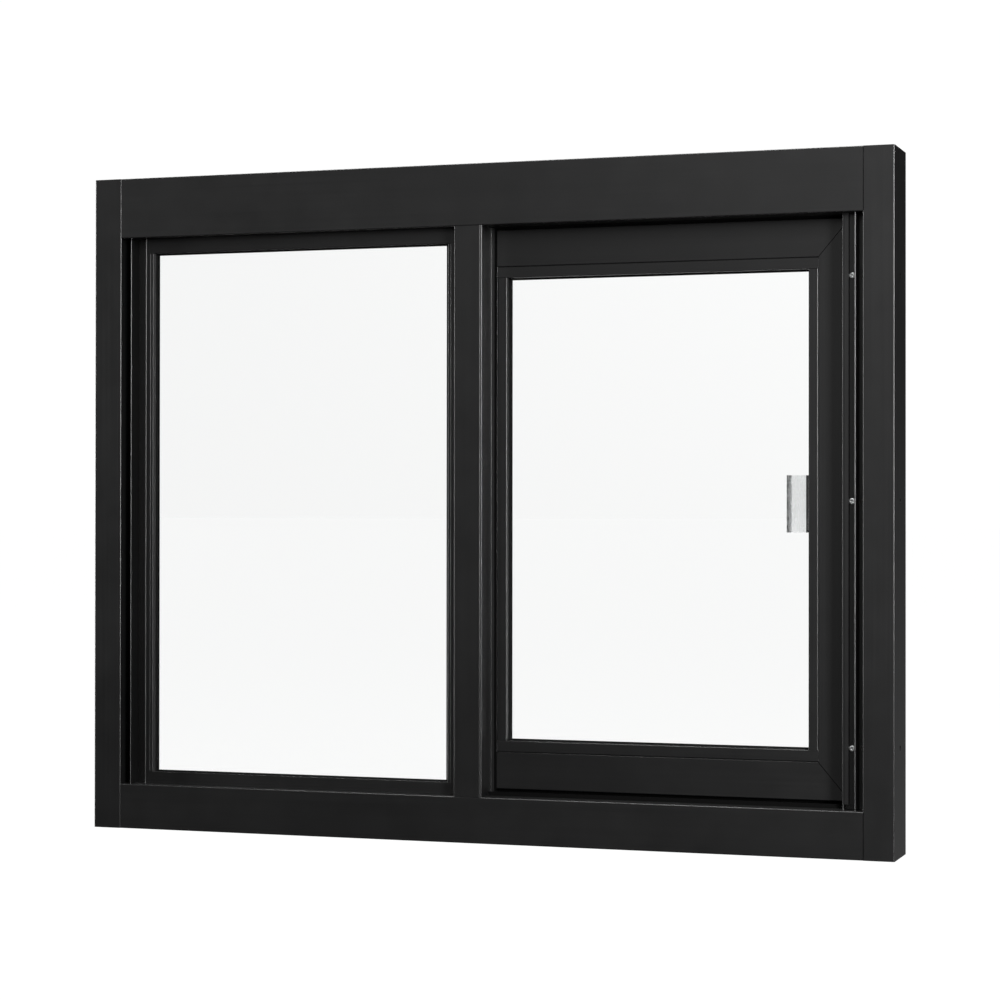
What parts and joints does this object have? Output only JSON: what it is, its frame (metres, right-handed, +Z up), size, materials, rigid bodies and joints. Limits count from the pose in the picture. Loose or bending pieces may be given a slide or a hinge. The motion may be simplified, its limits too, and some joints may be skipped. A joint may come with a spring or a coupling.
{
  "type": "sliding concession window",
  "caption": "Wide black aluminium serving window with a fixed pane on the left and a sliding sash with a pull on the right.",
  "frame": {"origin": "middle of the sill's underside, half way through the frame's depth", "axes": "+X to the right seen from the customers' side, +Y into the building, +Z up"},
  "size_m": [1.2066, 0.0888, 0.9715],
  "materials": {
    "black_frame": "satin black anodised",
    "clear_glass": "polished",
    "glazing_rubber": "matt",
    "pile": "brushed pile",
    "bright_metal": "clear anodised",
    "running_gear": "moulded"
  },
  "bodies": {
    "root": {"head": "black_frame", "sill": "black_frame", "jamb_left": "black_frame", "jamb_right": "black_frame", "cover_strip": "black_frame", "mullion": "black_frame", "mullion_cover": "black_frame", "mullion_pile": "pile", "fixed_frame_top": "black_frame", "fixed_frame_bottom": "black_frame", "fixed_frame_left": "black_frame", "fixed_frame_right": "black_frame", "fixed_bead_top": "black_frame", "fixed_bead_bottom": "black_frame", "fixed_bead_left": "black_frame", "fixed_bead_right": "black_frame", "fixed_glass": "clear_glass", "fixed_gasket": "glazing_rubber", "sash_top_rail": "black_frame", "sash_bottom_rail": "black_frame", "sash_meeting_stile": "black_frame", "sash_lead_stile": "black_frame", "sash_bead_top": "black_frame", "sash_bead_bottom": "black_frame", "sash_bead_left": "black_frame", "sash_bead_right": "black_frame", "sash_glass": "clear_glass", "sash_gasket": "glazing_rubber", "hanger_left": "running_gear", "hanger_right": "running_gear", "sill_track": "black_frame", "sill_rib": "black_frame", "bumper_left": "glazing_rubber", "bumper_right": "glazing_rubber", "pull_handle": "bright_metal", "pull_pad": "glazing_rubber"}
  },
  "joints": []
}
